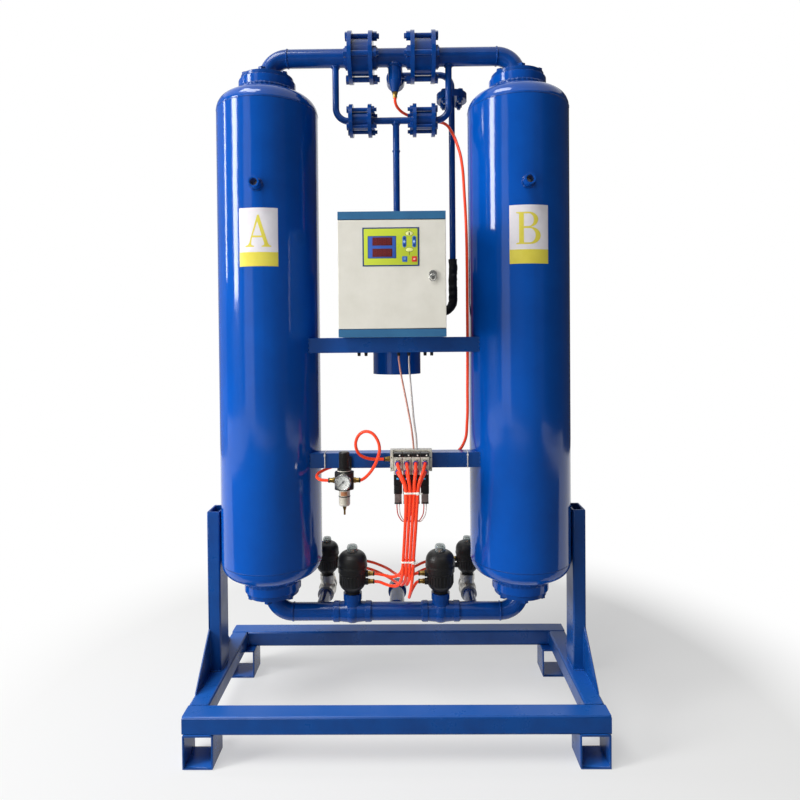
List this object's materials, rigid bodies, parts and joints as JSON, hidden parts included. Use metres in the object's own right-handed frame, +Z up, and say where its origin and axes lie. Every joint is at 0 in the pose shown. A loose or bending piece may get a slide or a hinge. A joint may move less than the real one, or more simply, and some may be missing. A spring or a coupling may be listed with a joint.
{
  "type": "desiccant air dryer",
  "caption": "Twin tower compressed air dryer with a purge heater, a control case, pneumatic valves and an air set on a welded steel skid.",
  "frame": {"origin": "on the floor under the middle of the skid", "axes": "+Z up the towers, -Y out of the front with the control case, +X towards tower B"},
  "size_m": [1.0296, 0.464, 1.8715],
  "materials": {
    "blue_paint": "gloss",
    "stainless_steel": "satin",
    "gasket_rubber": "matte",
    "desiccant": "matte",
    "insulation_rubber": "matte",
    "black_nylon": "matte",
    "clear_plastic": "gloss",
    "brass": "satin",
    "teal_paint": "satin",
    "ivory_paint": "satin",
    "membrane_film": "satin",
    "chrome": "gloss",
    "aluminium": "satin",
    "fitting_plastic": "gloss",
    "orange_tube": "gloss",
    "cable_pvc": "satin"
  },
  "bodies": {
    "frame": {"cross_rails": "blue_paint", "side_rails": "blue_paint", "skid_feet": "blue_paint", "uprights": "blue_paint", "shelf_bar": "blue_paint", "instrument_bar": "blue_paint", "tower_a": "blue_paint", "tower_b": "blue_paint", "bed_screens": "stainless_steel", "desiccant_beds": "desiccant", "cover_gaskets": "gasket_rubber", "cover_bolts": "blue_paint", "upper_pipe_a": "blue_paint", "upper_pipe_b": "blue_paint", "outlet_tee": "blue_paint", "check_bodies": "blue_paint", "flange_studs": "blue_paint", "purge_tee": "blue_paint", "purge_feed_pipe": "blue_paint", "pipe_insulation": "insulation_rubber", "heater_vessel": "blue_paint", "heater_element": "stainless_steel", "lower_pipe_a": "blue_paint", "lower_pipe_b": "blue_paint", "inlet_tee": "blue_paint", "main_valve_bodies": "blue_paint", "exhaust_valve_bodies": "stainless_steel", "actuator_housings": "black_nylon", "actuator_lids": "black_nylon", "indicator_caps": "clear_plastic", "exhaust_silencers": "brass", "control_case": "teal_paint", "power_relay": "black_nylon", "cable_glands": "black_nylon", "regulator_body": "black_nylon", "pressure_gauge": "stainless_steel", "filter_bowl": "aluminium", "solenoid_manifold": "aluminium", "solenoid_valves": "aluminium", "solenoid_coils": "black_nylon", "push_fittings": "fitting_plastic", "brass_fittings": "brass", "supply_tube": "orange_tube", "loop_tube": "orange_tube", "control_tubes": "orange_tube", "signal_cables": "cable_pvc"},
    "door": {"control_door": "ivory_paint", "membrane_panel": "membrane_film", "controller": "black_nylon"},
    "lock": {"door_lock": "chrome"},
    "knob": {"regulator_knob": "black_nylon"},
    "needle": {"gauge_needle": "black_nylon"},
    "main_valve_stem_a": {"main_stem_a": "stainless_steel"},
    "main_valve_stem_b": {"main_stem_b": "stainless_steel"},
    "exhaust_valve_stem_a": {"exhaust_stem_a": "stainless_steel"},
    "exhaust_valve_stem_b": {"exhaust_stem_b": "stainless_steel"},
    "outlet_disc_a": {"check_disc_a": "stainless_steel"},
    "outlet_disc_b": {"check_disc_b": "stainless_steel"},
    "purge_check_a": {"purge_disc_a": "stainless_steel"},
    "purge_check_b": {"purge_disc_b": "stainless_steel"}
  },
  "joints": [
    {"name": "door_swing", "type": "hinge", "parent": "frame", "child": "door", "pos_m": [-0.124, -0.202, 1.187], "axis": [0, 0, -1], "range_deg": [0, 110]},
    {"name": "lock_turn", "type": "hinge", "parent": "door", "child": "lock", "pos_m": [0.098, -0.21, 1.186], "axis": [0, -1, 0], "range_deg": [0, 90]},
    {"name": "knob_turn", "type": "hinge", "parent": "frame", "child": "knob", "pos_m": [-0.13, -0.112, 0.72], "axis": [0, 0, 1], "range_deg": [0, 720]},
    {"name": "needle_swing", "type": "hinge", "parent": "frame", "child": "needle", "pos_m": [-0.13, -0.15, 0.671], "axis": [0, 1, 0], "range_deg": [0, 270]},
    {"name": "main_valve_a", "type": "slide", "parent": "frame", "child": "main_valve_stem_a", "axis": [0, 0, 1], "range_m": [0, 0.012]},
    {"name": "main_valve_b", "type": "slide", "parent": "frame", "child": "main_valve_stem_b", "axis": [0, 0, 1], "range_m": [0, 0.012]},
    {"name": "exhaust_valve_a", "type": "slide", "parent": "frame", "child": "exhaust_valve_stem_a", "axis": [0, 0, 1], "range_m": [0, 0.0102]},
    {"name": "exhaust_valve_b", "type": "slide", "parent": "frame", "child": "exhaust_valve_stem_b", "axis": [0, 0, 1], "range_m": [0, 0.0102]},
    {"name": "outlet_check_a", "type": "slide", "parent": "frame", "child": "outlet_disc_a", "axis": [1, 0, 0], "range_m": [0, 0.008], "stiffness_N_per_m": 150, "springref_m": -0.004},
    {"name": "outlet_check_b", "type": "slide", "parent": "frame", "child": "outlet_disc_b", "axis": [-1, 0, 0], "range_m": [0, 0.008], "stiffness_N_per_m": 150, "springref_m": -0.004},
    {"name": "purge_check_a_lift", "type": "slide", "parent": "frame", "child": "purge_check_a", "axis": [-1, 0, 0], "range_m": [0, 0.005], "stiffness_N_per_m": 150, "springref_m": -0.004},
    {"name": "purge_check_b_lift", "type": "slide", "parent": "frame", "child": "purge_check_b", "axis": [1, 0, 0], "range_m": [0, 0.005], "stiffness_N_per_m": 150, "springref_m": -0.004}
  ]
}
